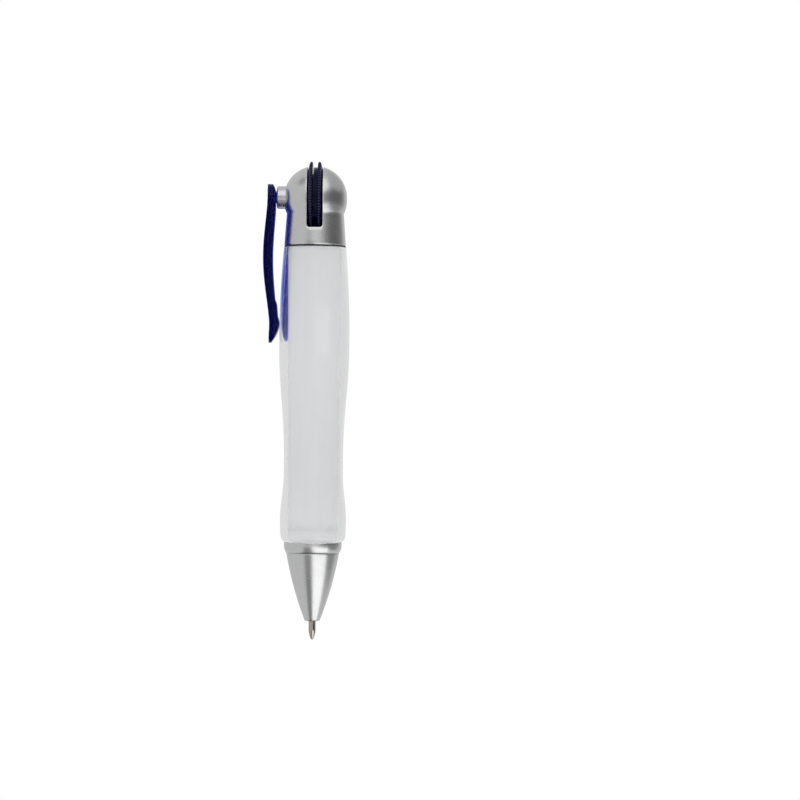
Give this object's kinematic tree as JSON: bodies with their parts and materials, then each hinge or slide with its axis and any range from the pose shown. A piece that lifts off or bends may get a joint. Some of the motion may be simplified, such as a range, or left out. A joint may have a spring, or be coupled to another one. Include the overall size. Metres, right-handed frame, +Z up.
{
  "type": "ballpoint pen",
  "caption": "Thick ballpoint pen with a waisted clear barrel over a white core and picture sheet, a satin silver nose and round head, a thumb wheel that draws the point in, and a bowed clip.",
  "frame": {"origin": "the writing point, at the lowest point of the ball with the point out", "axes": "+Z up the axis of the pen from point to head, -X to the clip, -Y and +Y out of the two mouths of the wheel slot"},
  "size_m": [0.027, 0.0222, 0.1481],
  "materials": {
    "silver_plastic": "satin silver lacquer on moulded plastic",
    "blue_plastic": "dark translucent blue moulded plastic",
    "clear_plastic": "clear polished plastic",
    "white_plastic": "white moulded plastic",
    "paper": "blank white paper",
    "washer": "dark rubber",
    "steel": "drawn steel",
    "brass": "drawn brass tube",
    "point_metal": "turned nickel silver",
    "ink": "paste ink"
  },
  "bodies": {
    "pen_body": {"head_shell": "silver_plastic", "clip_bush": "silver_plastic", "wheel_axle": "steel", "plunger_guide": "white_plastic", "core_tube": "white_plastic", "insert_sheet": "paper", "barrel": "clear_plastic", "barrel_washer": "washer", "front_bush": "white_plastic"},
    "wheel": {"thumb_wheel": "blue_plastic"},
    "clip": {"clip": "blue_plastic"},
    "refill": {"plunger": "white_plastic", "refill_plug": "white_plastic", "refill_tube": "brass", "ink_column": "ink", "refill_point": "point_metal", "writing_ball": "steel"},
    "nose": {"end_ring": "clear_plastic", "nose_collar": "silver_plastic", "nose_cone": "silver_plastic", "return_spring": "steel"}
  },
  "joints": [
    {"name": "wheel_turn", "type": "hinge", "parent": "pen_body", "child": "wheel", "pos_m": [0, 0, 0.137], "axis": [-1, 0, 0], "range_deg": [0, 150]},
    {"name": "refill_slide", "type": "slide", "parent": "pen_body", "child": "refill", "axis": [0, 0, 1], "range_m": [0, 0.0066], "deforming": ["return_spring"]},
    {"name": "clip_flex", "type": "hinge", "parent": "pen_body", "child": "clip", "pos_m": [-0.01065, 0, 0.137], "axis": [0, 1, 0], "range_deg": [0, 5], "stiffness_Nm_per_rad": 0.3, "springref_deg": -2.29},
    {"name": "nose_unscrew", "type": "slide", "parent": "pen_body", "child": "nose", "axis": [0, 0, -1], "range_m": [0, 0.045]}
  ],
  "couplings": [
    {"joint": "refill_slide", "follows": "wheel_turn", "m_per_rad": 0.002521}
  ]
}
